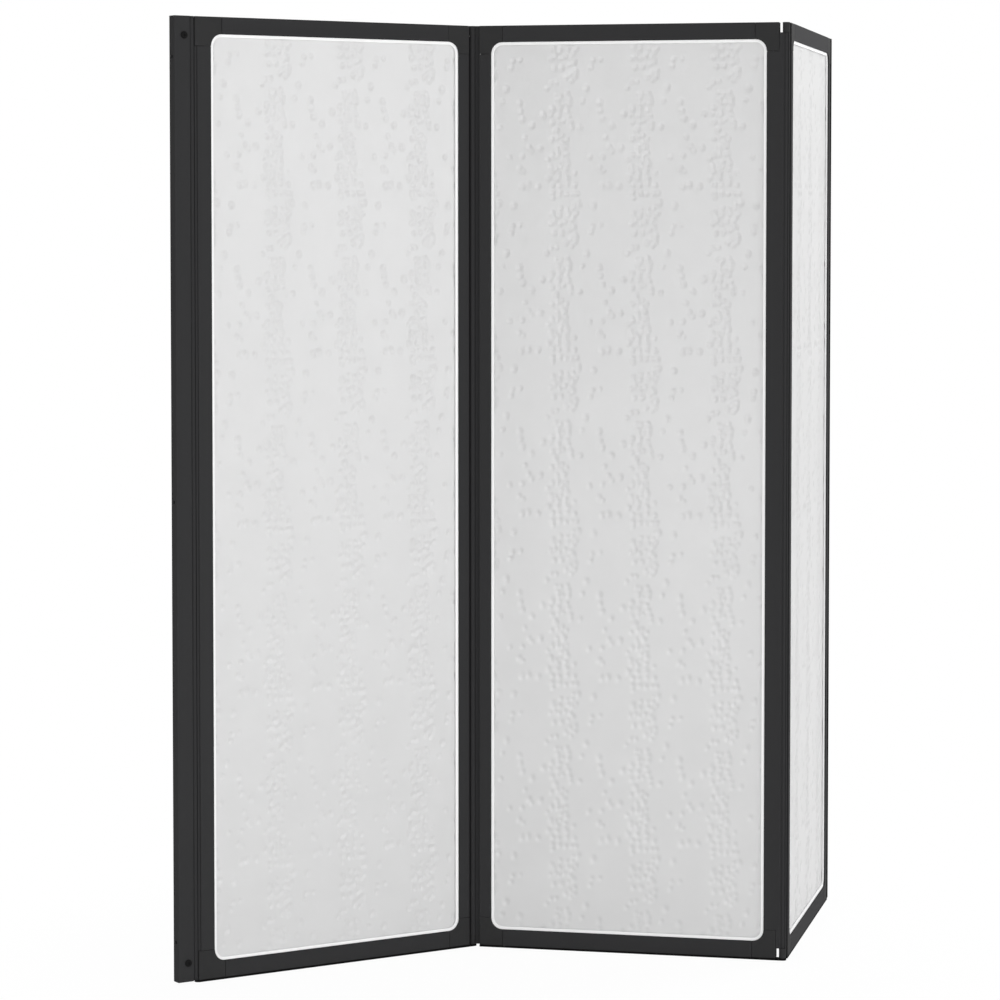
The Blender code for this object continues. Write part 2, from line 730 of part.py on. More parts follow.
def make_post_screw(frame, place, height, kit):
    """Pan-head screw from the front flange into the post."""
    dome = [
        (SCREW_HEAD_RADIUS * math.sin(a), SCREW_HEAD_HEIGHT * (1 + math.cos(a)) / 2)
        for a in (math.pi / 2 * step / CORNER_STEPS for step in range(CORNER_STEPS + 1))]
    profile = [
        *dome,
        (SCREW_HEAD_RADIUS, 0),
        (SCREW_RADIUS, 0),
        (SCREW_RADIUS, -SCREW_LENGTH),
        (0, -SCREW_LENGTH - SCREW_POINT),
    ]
    screw = frame.turn(f"screw_{place}", profile, kit["screw"], SMALL_STEPS)
    arm = SCREW_RECESS_REACH
    slit = SCREW_RECESS / 2
    floor = SCREW_HEAD_HEIGHT - SCREW_RECESS_DEPTH
    ceiling = SCREW_HEAD_HEIGHT + OVERRUN
    slots = (
        frame.cutter(f"slot_{place}", boxes(((-arm, -slit, floor), (arm, slit, ceiling)))),
        frame.cutter(f"cross_slot_{place}", boxes(((-slit, -arm, floor), (slit, arm, ceiling)))),
    )
    face = HALF_THICKNESS + CHANNEL_WALL + GAP
    for item in (screw, *slots):
        item.location = (SCREW_FROM_WALL, -face, height)
        item.rotation_euler = (math.pi / 2, 0, 0)
    for slot in slots:
        combine(screw, slot, "DIFFERENCE")


def build():
    """Make the whole screen, part folded as it stands at rest."""
    clear_scene()
    parts = new_collection(COLLECTION)
    cutters = new_collection(COLLECTION + "_cutters")
    kit = {
        "frame": make_material("black_extrusion", (0.032, 0.032, 0.034), 0.42),
        "block": make_material("black_moulding", (0.028, 0.028, 0.029), 0.5),
        "pane": make_material("rain_pane", (0.72, 0.73, 0.73), 0.3, 0.75),
        "seal": make_material("white_gasket", (0.88, 0.88, 0.88), 0.5),
        "strip": make_material("black_strip", (0.02, 0.02, 0.02), 0.7),
        "screw": make_material("black_screw", (0.03, 0.03, 0.03), 0.4),
    }
    wall = Frame("wall", None, (0, 0, -ORIGIN_ABOVE_END), 0, parts, cutters)
    side_holes = make_wall_channel(wall, kit)
    make_pivot_post(wall, side_holes, kit)
    make_post_screw(wall, "top", FRAME_HEIGHT - SCREW_INSET, kit)
    make_post_screw(wall, "bottom", SCREW_INSET, kit)
    make_plugs(wall, "post_plug", PIVOT_FROM_WALL, BARREL_RADIUS, kit["block"])

    panel_1 = Frame("panel_1", wall, (PIVOT_FROM_WALL, 0, 0), 0, parts, cutters)
    hinge_1 = make_panel(panel_1, False, -1, kit)
    panel_2 = Frame("panel_2", panel_1, (hinge_1, 0, 0), -FOLD_1_REST, parts, cutters)
    hinge_2 = make_panel(panel_2, True, 1, kit)
    panel_3 = Frame("panel_3", panel_2, (hinge_2, 0, 0), FOLD_2_REST, parts, cutters)
    free_edge = make_panel(panel_3, True, -1, kit)
    make_edge_trim(panel_3, free_edge, kit["strip"])
    make_plugs(panel_3, "edge_plug", free_edge, TRIM_RADIUS, kit["block"])


build()
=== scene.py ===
"""Dressed scene of a half height shower screen, three framed panels that fold."""

import math

import bmesh
import bpy
from mathutils import Matrix, Vector


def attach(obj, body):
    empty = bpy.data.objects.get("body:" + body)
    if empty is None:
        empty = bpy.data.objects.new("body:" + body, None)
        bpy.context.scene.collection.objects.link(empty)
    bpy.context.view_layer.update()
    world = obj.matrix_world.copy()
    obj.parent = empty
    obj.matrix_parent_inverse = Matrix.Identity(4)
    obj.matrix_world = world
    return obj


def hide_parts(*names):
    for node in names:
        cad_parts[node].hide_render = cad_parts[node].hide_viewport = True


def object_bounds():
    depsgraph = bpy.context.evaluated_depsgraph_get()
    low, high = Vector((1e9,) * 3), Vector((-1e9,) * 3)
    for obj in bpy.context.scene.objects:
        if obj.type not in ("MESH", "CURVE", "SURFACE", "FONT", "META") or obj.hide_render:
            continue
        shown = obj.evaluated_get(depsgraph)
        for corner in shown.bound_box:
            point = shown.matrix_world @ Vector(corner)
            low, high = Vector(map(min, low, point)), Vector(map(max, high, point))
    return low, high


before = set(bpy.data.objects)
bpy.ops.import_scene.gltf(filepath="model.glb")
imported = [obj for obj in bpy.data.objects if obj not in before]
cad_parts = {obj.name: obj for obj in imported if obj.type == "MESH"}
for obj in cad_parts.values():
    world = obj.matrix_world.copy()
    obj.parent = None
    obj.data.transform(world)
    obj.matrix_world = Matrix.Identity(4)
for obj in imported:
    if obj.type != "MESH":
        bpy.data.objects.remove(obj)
cad_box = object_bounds()


# Extruded members: the stiles and rails of the three panels, the wall channel and the
# pivot post. They are drawn plastic bars in satin black, cut to length, so their skin
# has faint draw lines along the bar and a slight orange peel.

EXTRUSION_BLACK = (0.029, 0.029, 0.030, 1)
EXTRUSION_WORN_BLACK = (0.035, 0.035, 0.036, 1)
EXTRUSION_GLOSS = (0.66, 0.76)
FAINT_SHEEN = 0.03
DRAW_LINE_SPACING = 0.0012
DRAW_LINE_DEPTH = 0.00001
ALONG_THE_BAR = 0.02
BAR_TONE_SIZE = 0.03
PANEL_TURN = {"panel_1": 0, "panel_2": -45, "panel_3": 45}


def grain_group():
    """Shader group: fine relief and a slow change of tone, stretched along one direction."""
    tree = bpy.data.node_groups.new("fine_grain", "ShaderNodeTree")
    tree.interface.new_socket("Size", in_out="INPUT", socket_type="NodeSocketFloat")
    tree.interface.new_socket("Stretch", in_out="INPUT", socket_type="NodeSocketVector")
    tree.interface.new_socket("Turn", in_out="INPUT", socket_type="NodeSocketFloat")
    tree.interface.new_socket("Tone Size", in_out="INPUT", socket_type="NodeSocketFloat")
    tree.interface.new_socket("Height", in_out="OUTPUT", socket_type="NodeSocketFloat")
    tree.interface.new_socket("Tone", in_out="OUTPUT", socket_type="NodeSocketFloat")
    add, join = tree.nodes.new, tree.links.new
    given, out = add("NodeGroupInput"), add("NodeGroupOutput")
    place = add("ShaderNodeTexCoord")
    turn = add("ShaderNodeVectorRotate")
    turn.rotation_type = "Z_AXIS"
    join(place.outputs["Object"], turn.inputs["Vector"])
    join(given.outputs["Turn"], turn.inputs["Angle"])
    stretch = add("ShaderNodeVectorMath")
    stretch.operation = "MULTIPLY"
    join(turn.outputs["Vector"], stretch.inputs[0])
    join(given.outputs["Stretch"], stretch.inputs[1])
    for size, result, detail in (("Size", "Height", 3), ("Tone Size", "Tone", 4)):
        per_metre = add("ShaderNodeMath")
        per_metre.operation = "DIVIDE"
        per_metre.inputs[0].default_value = 1
        join(given.outputs[size], per_metre.inputs[1])
        noise = add("ShaderNodeTexNoise")
        noise.inputs["Detail"].default_value = detail
        join(stretch.outputs["Vector"], noise.inputs["Vector"])
        join(per_metre.outputs["Value"], noise.inputs["Scale"])
        join(noise.outputs["Fac"], out.inputs[result])
    return tree


fine_grain = grain_group()


def grained_finish(
        name, dark, light, gloss, size, depth, tone_size, stretch=(1, 1, 1), turn=0, sheen=0.5):
    """Principled material with the fine grain in its colour, roughness and normal."""
    made = bpy.data.materials.new(name)
    made.use_nodes = True
    nodes, join = made.node_tree.nodes, made.node_tree.links.new
    shader = nodes["Principled BSDF"]
    shader.inputs["Specular IOR Level"].default_value = sheen
    grain = nodes.new("ShaderNodeGroup")
    grain.node_tree = fine_grain
    grain.inputs["Size"].default_value = size
    grain.inputs["Stretch"].default_value = stretch
    grain.inputs["Turn"].default_value = math.radians(turn)
    grain.inputs["Tone Size"].default_value = tone_size
    colour = nodes.new("ShaderNodeMix")
    colour.data_type = "RGBA"
    colour.inputs["A"].default_value = dark
    colour.inputs["B"].default_value = light
    join(grain.outputs["Tone"], colour.inputs["Factor"])
    join(colour.outputs["Result"], shader.inputs["Base Color"])
    rough = nodes.new("ShaderNodeMapRange")
    rough.inputs["To Min"].default_value = gloss[0]
    rough.inputs["To Max"].default_value = gloss[1]
    join(grain.outputs["Tone"], rough.inputs["Value"])
    join(rough.outputs["Result"], shader.inputs["Roughness"])
    bump = nodes.new("ShaderNodeBump")
    bump.inputs["Distance"].default_value = depth
    join(grain.outputs["Height"], bump.inputs["Height"])
    join(bump.outputs["Normal"], shader.inputs["Normal"])
    return made


def dress(node, finish):
    """Give a CAD node's object its finish."""
    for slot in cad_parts[node].material_slots:
        slot.material = finish


def drawn_finish(name, stretch, turn=0):
    """Satin black of a drawn bar; stretch is small along the bar."""
    return grained_finish(
        name, EXTRUSION_BLACK, EXTRUSION_WORN_BLACK, EXTRUSION_GLOSS,
        DRAW_LINE_SPACING, DRAW_LINE_DEPTH, BAR_TONE_SIZE, stretch, turn, FAINT_SHEEN)


upright_bar = drawn_finish("black_upright_bar", (1, 1, ALONG_THE_BAR))
for node in ("wall_channel", "wall_pivot_post"):
    dress(node, upright_bar)
for panel, turn in PANEL_TURN.items():
    level_bar = drawn_finish(f"black_level_bar_{panel}", (ALONG_THE_BAR, 1, 1), -turn)
    for side in ("left", "right"):
        dress(f"{panel}_stile_{side}", upright_bar)
    for end in ("top", "bottom"):
        dress(f"{panel}_rail_{end}", level_bar)


# Corner blocks and plugs: injection moulded in black, with spigots that are pressed into
# the hollow bars. Their spark-eroded mould leaves an even, fine leather-like grain that
# is a little duller than the drawn bars beside them.

MOULDING_BLACK = (0.028, 0.028, 0.0285, 1)
MOULDING_PALE_BLACK = (0.033, 0.033, 0.0335, 1)
MOULDING_GLOSS = (0.6, 0.7)
MOULD_GRAIN_SIZE = 0.0007
MOULD_GRAIN_DEPTH = 0.00002
MOULDING_TONE_SIZE = 0.02

moulded = grained_finish(
    "black_moulded_grain", MOULDING_BLACK, MOULDING_PALE_BLACK, MOULDING_GLOSS,
    MOULD_GRAIN_SIZE, MOULD_GRAIN_DEPTH, MOULDING_TONE_SIZE, sheen=FAINT_SHEEN)
for panel in PANEL_TURN:
    for end in ("top", "bottom"):
        for side in ("left", "right"):
            dress(f"{panel}_corner_{end}_{side}", moulded)
for plug in ("wall_post_plug", "panel_3_edge_plug"):
    for end in ("top", "bottom"):
        dress(f"{plug}_{end}", moulded)


# Panes: one milky plastic sheet in each panel, pressed with a rain pattern. The pattern
# comes from an engraved roller, so the same patch of drops repeats across and down, and
# between the drops the sheet is smooth.

SHEET_GRID = 0.0024
SHEET_THICKNESS = 0.003
RAIN_TILE = (0.116, 0.233)
RAIN_CELL = 0.002
RAIN_BANDS = ((-0.035, 0.0175, 0.85), (0.007, 0.005, 0.24), (0.028, 0.012, 0.15))
DROP_SPACING = 0.0056
DROP_RADIUS = (0.0032, 0.0062)
DROP_DEPTH = 0.0014
DROP_TALL = 1.3
DROP_WARP = 0.003
DROPS_PER_SQUARE_METRE = 40000
STRAY_DROP_SHARE = 0.05
BAND_FADE = 0.5
BREAK_NOISE_SCALE = 25
BREAK_NOISE_RANGE = (0.32, 0.46)
BEND_NOISE_SCALE = 110
RAIN_SEED = 3
SHEET_CORNER_RADIUS = 0.022
SHEET_MILK = (0.70, 0.70, 0.70, 1)
SHEET_PALE_MILK = (0.76, 0.76, 0.76, 1)
SHEET_GLOSS = (0.30, 0.36)
SHEET_RIPPLE_SIZE = 0.004
SHEET_RIPPLE_DEPTH = 0.00001
SHEET_TONE_SIZE = 0.05
SHEET_IOR = 1.5
SHEET_TRANSLUCENCE = 0.3


def rain_sheet_tree():
    """Geometry Nodes tree that presses a repeating patch of drops into a sheet's front."""
    tree = bpy.data.node_groups.new("rain_sheet", "GeometryNodeTree")
    tree.interface.new_socket("Geometry", in_out="INPUT", socket_type="NodeSocketGeometry")
    for name, kind in (
            ("Patch Width", "NodeSocketFloat"), ("Patch Height", "NodeSocketFloat"),
            ("Columns", "NodeSocketInt"), ("Rows", "NodeSocketInt"),
            ("Spacing", "NodeSocketFloat"), ("Smallest Radius", "NodeSocketFloat"),
            ("Largest Radius", "NodeSocketFloat"), ("Depth", "NodeSocketFloat"),
            ("Tallness", "NodeSocketFloat"), ("Warp", "NodeSocketFloat"),
            ("Front Level", "NodeSocketFloat"),
            ("Seed", "NodeSocketInt"), ("Finish", "NodeSocketMaterial")):
        tree.interface.new_socket(name, in_out="INPUT", socket_type=kind)
    for band in range(len(RAIN_BANDS)):
        for name in ("Place", "Half Width", "Share"):
            tree.interface.new_socket(
                f"Band {band + 1} {name}", in_out="INPUT", socket_type="NodeSocketFloat")
    tree.interface.new_socket("Geometry", in_out="OUTPUT", socket_type="NodeSocketGeometry")
    add, join = tree.nodes.new, tree.links.new
    given, out = add("NodeGroupInput"), add("NodeGroupOutput")

    def maths(operation, first, second=None):
        node = add("ShaderNodeMath")
        node.operation = operation
        for socket, value in zip(node.inputs, (first, second)):
            if isinstance(value, bpy.types.NodeSocket):
                join(value, socket)
            elif value is not None:
                socket.default_value = value
        return node.outputs["Value"]

    # One patch of drops on a flat rectangle. They run down in bands, with breaks where a
    # slow noise is low.
    patch = add("GeometryNodeMeshGrid")
    patch.inputs["Vertices X"].default_value = round(RAIN_TILE[0] / RAIN_CELL)
    patch.inputs["Vertices Y"].default_value = round(RAIN_TILE[1] / RAIN_CELL)
    join(given.outputs["Patch Width"], patch.inputs["Size X"])
    join(given.outputs["Patch Height"], patch.inputs["Size Y"])
    clusters = add("ShaderNodeTexNoise")
    clusters.inputs["Scale"].default_value = BREAK_NOISE_SCALE
    clusters.inputs["Detail"].default_value = 1
    breaks = add("ShaderNodeMapRange")
    breaks.inputs["From Min"].default_value = BREAK_NOISE_RANGE[0]
    breaks.inputs["From Max"].default_value = BREAK_NOISE_RANGE[1]
    join(clusters.outputs["Fac"], breaks.inputs["Value"])
    flat_place = add("GeometryNodeInputPosition")
    across = add("ShaderNodeSeparateXYZ")
    join(flat_place.outputs["Position"], across.inputs["Vector"])
    share = None
    for band in range(len(RAIN_BANDS)):
        aside = maths("ABSOLUTE", maths(
            "SUBTRACT", across.outputs["X"], given.outputs[f"Band {band + 1} Place"]))
        inwards = maths("SUBTRACT", 1 + BAND_FADE / 2, maths(
            "DIVIDE", aside, given.outputs[f"Band {band + 1} Half Width"]))
        edge = add("ShaderNodeMapRange")
        edge.inputs["From Max"].default_value = BAND_FADE
        join(inwards, edge.inputs["Value"])
        here_share = maths(
            "MULTIPLY", edge.outputs["Result"], given.outputs[f"Band {band + 1} Share"])
        share = here_share if share is None else maths("MAXIMUM", share, here_share)
    share = maths("MULTIPLY", maths("MAXIMUM", share, STRAY_DROP_SHARE), breaks.outputs["Result"])
    drops = add("GeometryNodeDistributePointsOnFaces")
    drops.distribute_method = "POISSON"
    drops.inputs["Density Max"].default_value = DROPS_PER_SQUARE_METRE
    join(patch.outputs["Mesh"], drops.inputs["Mesh"])
    join(given.outputs["Spacing"], drops.inputs["Distance Min"])
    join(share, drops.inputs["Density Factor"])
    join(given.outputs["Seed"], drops.inputs["Seed"])
    radius = add("FunctionNodeRandomValue")
    radius.data_type = "FLOAT"
    join(given.outputs["Smallest Radius"], radius.inputs[2])
    join(given.outputs["Largest Radius"], radius.inputs[3])
    join(given.outputs["Seed"], radius.inputs["Seed"])
    kept = add("GeometryNodeStoreNamedAttribute")
    kept.data_type = "FLOAT"
    kept.domain = "POINT"
    kept.inputs["Name"].default_value = "drop_radius"
    join(drops.outputs["Points"], kept.inputs["Geometry"])
    join(radius.outputs[1], kept.inputs["Value"])

    # The patch is repeated over the sheet and stood upright, x across and z up.
    centres = add("GeometryNodeMeshGrid")
    join(given.outputs["Columns"], centres.inputs["Vertices X"])
    join(given.outputs["Rows"], centres.inputs["Vertices Y"])
    steps_across = maths("SUBTRACT", given.outputs["Columns"], 1)
    steps_up = maths("SUBTRACT", given.outputs["Rows"], 1)
    join(maths("MULTIPLY", given.outputs["Patch Width"], steps_across), centres.inputs["Size X"])
    join(maths("MULTIPLY", given.outputs["Patch Height"], steps_up), centres.inputs["Size Y"])
    repeated = add("GeometryNodeInstanceOnPoints")
    join(centres.outputs["Mesh"], repeated.inputs["Points"])
    join(kept.outputs["Geometry"], repeated.inputs["Instance"])
    real = add("GeometryNodeRealizeInstances")
    join(repeated.outputs["Instances"], real.inputs["Geometry"])
    upright = add("GeometryNodeTransform")
    upright.inputs["Rotation"].default_value = (math.pi / 2, 0, 0)
    join(real.outputs["Geometry"], upright.inputs["Geometry"])

    # Distance from each point of the sheet to its nearest drop. Heights are shortened, so
    # a drop comes out taller than wide, and a noise bends its outline.
    shorten = maths("DIVIDE", 1.0, given.outputs["Tallness"])
    squash = add("ShaderNodeCombineXYZ")
    squash.inputs["X"].default_value = 1
    squash.inputs["Y"].default_value = 0
    join(shorten, squash.inputs["Z"])
    here = add("GeometryNodeInputPosition")
    bend = add("ShaderNodeTexNoise")
    bend.inputs["Scale"].default_value = BEND_NOISE_SCALE
    bend.inputs["Detail"].default_value = 0
    join(here.outputs["Position"], bend.inputs["Vector"])
    bent = add("ShaderNodeVectorMath")
    bent.operation = "MULTIPLY_ADD"
    join(bend.outputs["Color"], bent.inputs[0])
    join(given.outputs["Warp"], bent.inputs[1])
    join(here.outputs["Position"], bent.inputs[2])
    squashed = add("ShaderNodeVectorMath")
    squashed.operation = "MULTIPLY"
    join(bent.outputs["Vector"], squashed.inputs[0])
    join(squash.outputs["Vector"], squashed.inputs[1])
    low_drops = add("GeometryNodeSetPosition")
    join(upright.outputs["Geometry"], low_drops.inputs["Geometry"])
    join(squashed.outputs["Vector"], low_drops.inputs["Position"])
    nearest = add("GeometryNodeSampleNearest")
    nearest.domain = "POINT"
    join(low_drops.outputs["Geometry"], nearest.inputs["Geometry"])
    join(squashed.outputs["Vector"], nearest.inputs["Sample Position"])
    found_place = add("GeometryNodeSampleIndex")
    found_place.data_type = "FLOAT_VECTOR"
    found_place.domain = "POINT"
    join(low_drops.outputs["Geometry"], found_place.inputs["Geometry"])
    join(here.outputs["Position"], found_place.inputs["Value"])
    join(nearest.outputs["Index"], found_place.inputs["Index"])
    named = add("GeometryNodeInputNamedAttribute")
    named.data_type = "FLOAT"
    named.inputs["Name"].default_value = "drop_radius"
    found_radius = add("GeometryNodeSampleIndex")
    found_radius.data_type = "FLOAT"
    found_radius.domain = "POINT"
    join(low_drops.outputs["Geometry"], found_radius.inputs["Geometry"])
    join(named.outputs["Attribute"], found_radius.inputs["Value"])
    join(nearest.outputs["Index"], found_radius.inputs["Index"])
    apart = add("ShaderNodeVectorMath")
    apart.operation = "DISTANCE"
    join(squashed.outputs["Vector"], apart.inputs[0])
    join(found_place.outputs["Value"], apart.inputs[1])

    # A dish, flat in its middle and steepest half way out, only on the sheet's front.
    inwards = maths("SUBTRACT", 1.0, maths(
        "DIVIDE", apart.outputs["Value"], found_radius.outputs["Value"]))
    dish = add("ShaderNodeMapRange")
    dish.interpolation_type = "SMOOTHSTEP"
    join(inwards, dish.inputs["Value"])
    join(given.outputs["Depth"], dish.inputs["To Max"])
    sunk = add("ShaderNodeCombineXYZ")
    join(dish.outputs["Result"], sunk.inputs["Y"])
    depth_of = add("ShaderNodeSeparateXYZ")
    join(here.outputs["Position"], depth_of.inputs["Vector"])
    on_front = add("FunctionNodeCompare")
    on_front.data_type = "FLOAT"
    on_front.operation = "LESS_THAN"
    join(depth_of.outputs["Y"], on_front.inputs["A"])
    join(given.outputs["Front Level"], on_front.inputs["B"])
    pressed = add("GeometryNodeSetPosition")
    join(given.outputs["Geometry"], pressed.inputs["Geometry"])
    join(on_front.outputs["Result"], pressed.inputs["Selection"])
    join(sunk.outputs["Vector"], pressed.inputs["Offset"])
    smooth = add("GeometryNodeSetShadeSmooth")
    join(pressed.outputs["Geometry"], smooth.inputs["Geometry"])
    join(on_front.outputs["Result"], smooth.inputs["Selection"])
    realized = add("GeometryNodeRealizeInstances")
    join(smooth.outputs["Geometry"], realized.inputs["Geometry"])
    finish = add("GeometryNodeSetMaterial")
    join(realized.outputs["Geometry"], finish.inputs["Geometry"])
    join(given.outputs["Finish"], finish.inputs["Material"])
    join(finish.outputs["Geometry"], out.inputs["Geometry"])
    return tree


def set_inputs(modifier, values):
    """Set a Geometry Nodes modifier's inputs by the identifiers of its named sockets."""
    for item in modifier.node_group.interface.items_tree:
        if item.item_type == "SOCKET" and item.in_out == "INPUT" and item.name in values:
            modifier[item.identifier] = values[item.name]


def applied(name, made):
    """A plain mesh object of an object's evaluated shape; the first object goes."""
    graph = bpy.context.evaluated_depsgraph_get()
    mesh = bpy.data.meshes.new_from_object(made.evaluated_get(graph))
    bpy.data.objects.remove(made, do_unlink=True)
    result = bpy.data.objects.new(name, mesh)
    bpy.context.scene.collection.objects.link(result)
    return result


def blank_sheet(width, height):
    """Closed flat sheet round the origin, with a fine grid on its front and round corners."""
    across, up = round(width / SHEET_GRID), round(height / SHEET_GRID)
    work = bmesh.new()
    bmesh.ops.create_grid(work, x_segments=across, y_segments=up, size=0.5)
    reach = Vector((width / 2 - SHEET_CORNER_RADIUS, height / 2 - SHEET_CORNER_RADIUS))
    for vertex in work.verts:
        x, z = vertex.co.x * width, vertex.co.y * height
        beyond = Vector((max(abs(x) - reach.x, 0), max(abs(z) - reach.y, 0)))
        if beyond.x and beyond.y and beyond.length > SHEET_CORNER_RADIUS:
            beyond *= SHEET_CORNER_RADIUS / beyond.length
            x = math.copysign(reach.x + beyond.x, x)
            z = math.copysign(reach.y + beyond.y, z)
        vertex.co = (x, -SHEET_THICKNESS / 2, z)
    rim = [edge for edge in work.edges if edge.is_boundary]
    grown = bmesh.ops.extrude_edge_only(work, edges=rim)["geom"]
    for vertex in grown:
        if isinstance(vertex, bmesh.types.BMVert):
            vertex.co.y = SHEET_THICKNESS / 2
    back = [edge for edge in grown if isinstance(edge, bmesh.types.BMEdge)]
    bmesh.ops.contextual_create(work, geom=back)
    bmesh.ops.recalc_face_normals(work, faces=work.faces)
    mesh = bpy.data.meshes.new("sheet")
    work.to_mesh(mesh)
    work.free()
    made = bpy.data.objects.new("sheet", mesh)
    bpy.context.scene.collection.objects.link(made)
    return made


def flat_box(node, turn):
    """Low and high corner of a CAD node in its panel's own, unturned axes."""
    back = Matrix.Rotation(math.radians(-turn), 3, "Z")
    flat = [back @ vertex.co for vertex in node.data.vertices]
    low = Vector(min(p[i] for p in flat) for i in range(3))
    high = Vector(max(p[i] for p in flat) for i in range(3))
    return low, high


milky_sheet = grained_finish(
    "milky_rain_sheet", SHEET_MILK, SHEET_PALE_MILK, SHEET_GLOSS,
    SHEET_RIPPLE_SIZE, SHEET_RIPPLE_DEPTH, SHEET_TONE_SIZE)
milky_shader = milky_sheet.node_tree.nodes["Principled BSDF"]
milky_shader.inputs["IOR"].default_value = SHEET_IOR
milky_shader.inputs["Transmission Weight"].default_value = SHEET_TRANSLUCENCE
rain_sheet = rain_sheet_tree()
for panel, turn in PANEL_TURN.items():
    low, high = flat_box(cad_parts[f"{panel}_pane"], turn)
    width, height = high.x - low.x, high.z - low.z
    sheet = blank_sheet(width, height)
    pressing = sheet.modifiers.new("rain", "NODES")
    pressing.node_group = rain_sheet
    set_inputs(pressing, {
        "Patch Width": RAIN_TILE[0], "Patch Height": RAIN_TILE[1],
        "Columns": math.ceil(width / RAIN_TILE[0]), "Rows": math.ceil(height / RAIN_TILE[1]),
        "Spacing": DROP_SPACING, "Smallest Radius": DROP_RADIUS[0],
        "Largest Radius": DROP_RADIUS[1], "Depth": DROP_DEPTH, "Tallness": DROP_TALL,
        "Warp": DROP_WARP, "Front Level": 0.0, "Seed": RAIN_SEED, "Finish": milky_sheet,
        **{f"Band {band + 1} {name}": size for band, sizes in enumerate(RAIN_BANDS)
           for name, size in zip(("Place", "Half Width", "Share"), sizes)}})
    pane = applied(f"{panel}_rain_pane", sheet)
    pane.data.transform(
        Matrix.Rotation(math.radians(turn), 4, "Z") @ Matrix.Translation((low + high) / 2))
    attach(pane, panel)
    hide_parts(f"{panel}_pane")


# Glazing gaskets: a white soft U-section pushed round each pane, whose lips show as the
# white line inside the black frame. The skin is matt with a faint bloom. What lies in the
# frame's groove is painted near black, a painted shade for the shadow inside the groove.

GASKET_WHITE = (0.88, 0.88, 0.88, 1)
GASKET_BLOOM_WHITE = (0.93, 0.93, 0.93, 1)
GASKET_GLOSS = (0.48, 0.6)
GASKET_GRAIN_SIZE = 0.001
GASKET_GRAIN_DEPTH = 0.00002
GASKET_TONE_SIZE = 0.02
GASKET_IN_GROOVE = 0.0078
# Near black painted shade for the part of the gasket that lies in the groove.
GROOVE_PAINTED_SHADE = (0.02, 0.02, 0.02, 1)


def groove_group():
    """Shader group: mask that is 1 where a gasket lies in the groove round the opening."""
    tree = bpy.data.node_groups.new("in_groove", "ShaderNodeTree")
    tree.interface.new_socket("Turn", in_out="INPUT", socket_type="NodeSocketFloat")
    tree.interface.new_socket("Middle", in_out="INPUT", socket_type="NodeSocketVector")
    tree.interface.new_socket("Half Opening", in_out="INPUT", socket_type="NodeSocketVector")
    tree.interface.new_socket("Mask", in_out="OUTPUT", socket_type="NodeSocketFloat")
    add, join = tree.nodes.new, tree.links.new
    given, out = add("NodeGroupInput"), add("NodeGroupOutput")
    place = add("ShaderNodeTexCoord")
    turn = add("ShaderNodeVectorRotate")
    turn.rotation_type = "Z_AXIS"
    join(place.outputs["Object"], turn.inputs["Vector"])
    join(given.outputs["Turn"], turn.inputs["Angle"])
    aside = add("ShaderNodeVectorMath")
    aside.operation = "SUBTRACT"
    join(turn.outputs["Vector"], aside.inputs[0])
    join(given.outputs["Middle"], aside.inputs[1])
    either_side = add("ShaderNodeVectorMath")
    either_side.operation = "ABSOLUTE"
    join(aside.outputs["Vector"], either_side.inputs[0])
    beyond = add("ShaderNodeVectorMath")
    beyond.operation = "SUBTRACT"
    join(either_side.outputs["Vector"], beyond.inputs[0])
    join(given.outputs["Half Opening"], beyond.inputs[1])
    parts = add("ShaderNodeSeparateXYZ")
    join(beyond.outputs["Vector"], parts.inputs["Vector"])
    most = add("ShaderNodeMath")
    most.operation = "MAXIMUM"
    join(parts.outputs["X"], most.inputs[0])
    join(parts.outputs["Z"], most.inputs[1])
    mask = add("ShaderNodeMath")
    mask.operation = "GREATER_THAN"
    mask.inputs[1].default_value = 0
    join(most.outputs["Value"], mask.inputs[0])
    join(mask.outputs["Value"], out.inputs["Mask"])
    return tree


in_groove = groove_group()


def gasket_finish(panel, turn):
    """White gasket finish of one panel, with painted shade where that panel's gasket is in the
    groove.
    """
    made = grained_finish(
        f"white_soft_gasket_{panel}", GASKET_WHITE, GASKET_BLOOM_WHITE, GASKET_GLOSS,
        GASKET_GRAIN_SIZE, GASKET_GRAIN_DEPTH, GASKET_TONE_SIZE)
    nodes, join = made.node_tree.nodes, made.node_tree.links.new
    low, high = flat_box(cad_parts[f"{panel}_glazing_seal"], turn)
    groove = nodes.new("ShaderNodeGroup")
    groove.node_tree = in_groove
    groove.inputs["Turn"].default_value = math.radians(-turn)
    groove.inputs["Middle"].default_value = (low + high) / 2
    groove.inputs["Half Opening"].default_value = (
        (high - low) / 2 - Vector((GASKET_IN_GROOVE,) * 3))
    base = nodes["Principled BSDF"].inputs["Base Color"]
    # Painted shade: the gasket inside the frame's groove is coloured near black for the shadow
    # there.
    painted_shade = nodes.new("ShaderNodeMix")
    painted_shade.data_type = "RGBA"
    painted_shade.inputs["B"].default_value = GROOVE_PAINTED_SHADE
    join(groove.outputs["Mask"], painted_shade.inputs["Factor"])
    join(base.links[0].from_socket, painted_shade.inputs["A"])
    join(painted_shade.outputs["Result"], base)
    return made


for panel, turn in PANEL_TURN.items():
    dress(f"{panel}_glazing_seal", gasket_finish(panel, turn))


# Black strips: the seal that clips into the slot under each bottom rail, and the round
# buffer on the free edge. Both are extruded in a soft black grade, quite matt.

STRIP_BLACK = (0.004, 0.004, 0.004, 1)
STRIP_DULL_BLACK = (0.007, 0.007, 0.007, 1)
STRIP_GLOSS = (0.7, 0.8)
STRIP_GRAIN_SIZE = 0.0006
STRIP_GRAIN_DEPTH = 0.00002
STRIP_TONE_SIZE = 0.015

